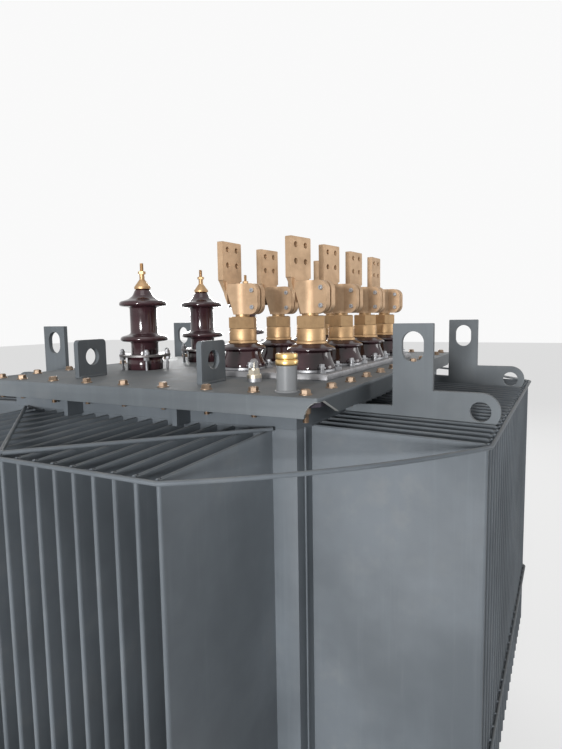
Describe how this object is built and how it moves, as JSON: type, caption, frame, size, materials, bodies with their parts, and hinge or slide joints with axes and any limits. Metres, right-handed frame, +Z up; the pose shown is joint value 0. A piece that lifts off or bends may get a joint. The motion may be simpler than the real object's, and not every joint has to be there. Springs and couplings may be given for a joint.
{
  "type": "power transformer",
  "caption": "Oil-filled three-phase power transformer with a sealed corrugated tank, low-voltage palm terminals and high-voltage porcelain bushings on a bolted cover.",
  "frame": {"origin": "on the ground under the middle of the tank", "axes": "+X along the long side, away from the end seen on the left in the picture; -Y towards the low-voltage side; +Z up"},
  "size_m": [2.1842, 1.7442, 1.788],
  "materials": {
    "grey_blue_paint": "semi-gloss grey-blue enamel with dust and light wear",
    "brown_porcelain": "gloss dark brown glaze",
    "brass": "machined, slightly dull",
    "bare_copper_alloy": "cast, bare, matt tan",
    "zinc_steel": "bright plated steel"
  },
  "bodies": {
    "root": {"tank_body": "grey_blue_paint", "cover": "grey_blue_paint", "fin_wall_left": "grey_blue_paint", "fin_wall_right": "grey_blue_paint", "fin_wall_front": "grey_blue_paint", "fin_wall_back": "grey_blue_paint", "skid_front": "grey_blue_paint", "skid_back": "grey_blue_paint", "tip_rods_upper": "grey_blue_paint", "tip_rods_lower": "grey_blue_paint", "brace_rod_left_front": "grey_blue_paint", "brace_rod_left_back": "grey_blue_paint", "brace_rod_right_front": "grey_blue_paint", "brace_rod_right_back": "grey_blue_paint", "lifting_lug_front_left": "grey_blue_paint", "lifting_lug_front_right": "grey_blue_paint", "lifting_lug_back_left": "grey_blue_paint", "lifting_lug_back_right": "grey_blue_paint", "cover_eye_front_left": "grey_blue_paint", "cover_eye_front_right": "grey_blue_paint", "cover_eye_back_left": "grey_blue_paint", "cover_eye_back_right": "grey_blue_paint", "filler_pipe": "grey_blue_paint", "hv_porcelain_1": "brown_porcelain", "hv_clamp_ring_1": "zinc_steel", "hv_terminal_1": "brass", "hv_porcelain_2": "brown_porcelain", "hv_clamp_ring_2": "zinc_steel", "hv_terminal_2": "brass", "hv_porcelain_3": "brown_porcelain", "hv_clamp_ring_3": "zinc_steel", "hv_terminal_3": "brass", "lv_porcelain_front_1": "brown_porcelain", "lv_stud_front_1": "brass", "lv_terminal_front_1": "bare_copper_alloy", "lv_porcelain_front_2": "brown_porcelain", "lv_stud_front_2": "brass", "lv_terminal_front_2": "bare_copper_alloy", "lv_porcelain_front_3": "brown_porcelain", "lv_stud_front_3": "brass", "lv_terminal_front_3": "bare_copper_alloy", "lv_porcelain_front_4": "brown_porcelain", "lv_stud_front_4": "brass", "lv_terminal_front_4": "bare_copper_alloy", "lv_porcelain_back_1": "brown_porcelain", "lv_stud_back_1": "brass", "lv_terminal_back_1": "bare_copper_alloy", "lv_porcelain_back_2": "brown_porcelain", "lv_stud_back_2": "brass", "lv_terminal_back_2": "bare_copper_alloy", "lv_porcelain_back_3": "brown_porcelain", "lv_stud_back_3": "brass", "lv_terminal_back_3": "bare_copper_alloy", "lv_porcelain_back_4": "brown_porcelain", "lv_stud_back_4": "brass", "lv_terminal_back_4": "bare_copper_alloy", "lv_mounting_plate": "zinc_steel", "filler_cap": "brass", "relief_valve": "brass"}
  },
  "joints": []
}
